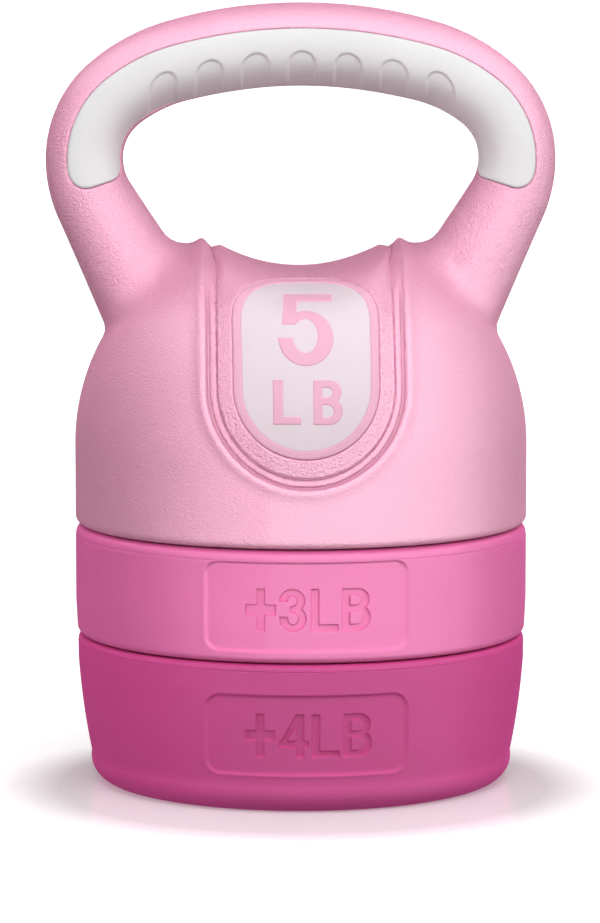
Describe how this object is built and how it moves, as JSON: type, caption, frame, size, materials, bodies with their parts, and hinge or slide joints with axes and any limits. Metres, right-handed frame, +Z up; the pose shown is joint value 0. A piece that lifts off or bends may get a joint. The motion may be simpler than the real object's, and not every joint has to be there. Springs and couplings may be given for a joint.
{
  "type": "adjustable kettlebell",
  "caption": "Stackable kettlebell: a handled body with soft grip pads over screw-on weight plates that come off with a third of a turn.",
  "frame": {"origin": "middle of the base plate's underside, on the surface that the kettlebell stands on", "axes": "+Z up through the handle, the handle along X, and -Y the front, which carries the weight markings"},
  "size_m": [0.1808, 0.1614, 0.2751],
  "materials": {
    "body_shell": "matte",
    "mid_shell": "matte",
    "base_shell": "matte",
    "grip_rubber": "matte",
    "badge_white": "satin",
    "badge_pink": "satin",
    "ring_rubber": "matte",
    "screw_steel": "satin",
    "cement": "matte"
  },
  "bodies": {
    "base_plate": {"base_plate_cup": "base_shell", "base_plate_lid": "base_shell", "base_plate_fill": "cement"},
    "lower_ring": {"lower_soft_ring": "ring_rubber"},
    "mid_plate": {"mid_plate_cup": "mid_shell", "mid_plate_lid": "mid_shell", "mid_plate_fill": "cement"},
    "upper_ring": {"upper_soft_ring": "ring_rubber"},
    "handled_body": {"body_shell": "body_shell", "body_cap": "body_shell", "cap_screws": "screw_steel", "body_fill": "cement", "front_grip_pad": "grip_rubber", "rear_grip_pad": "grip_rubber", "front_badge_rim": "badge_pink", "rear_badge_rim": "badge_pink", "front_badge_plate": "badge_white", "rear_badge_plate": "badge_white", "front_badge_digits": "badge_pink", "rear_badge_digits": "badge_pink"}
  },
  "joints": [
    {"name": "mid_rise", "type": "slide", "parent": "base_plate", "child": "lower_ring", "axis": [0, 0, 1], "range_m": [0, 0.005]},
    {"name": "mid_twist", "type": "hinge", "parent": "lower_ring", "child": "mid_plate", "pos_m": [0, 0, 0.0525], "axis": [0, 0, 1], "range_deg": [0, 120]},
    {"name": "body_rise", "type": "slide", "parent": "mid_plate", "child": "upper_ring", "axis": [0, 0, 1], "range_m": [0, 0.005]},
    {"name": "body_twist", "type": "hinge", "parent": "upper_ring", "child": "handled_body", "pos_m": [0, 0, 0.0916], "axis": [0, 0, 1], "range_deg": [0, 120]}
  ],
  "couplings": [
    {"joint": "mid_rise", "follows": "mid_twist", "m_per_rad": 0.0023873},
    {"joint": "body_rise", "follows": "body_twist", "m_per_rad": 0.0023873}
  ]
}
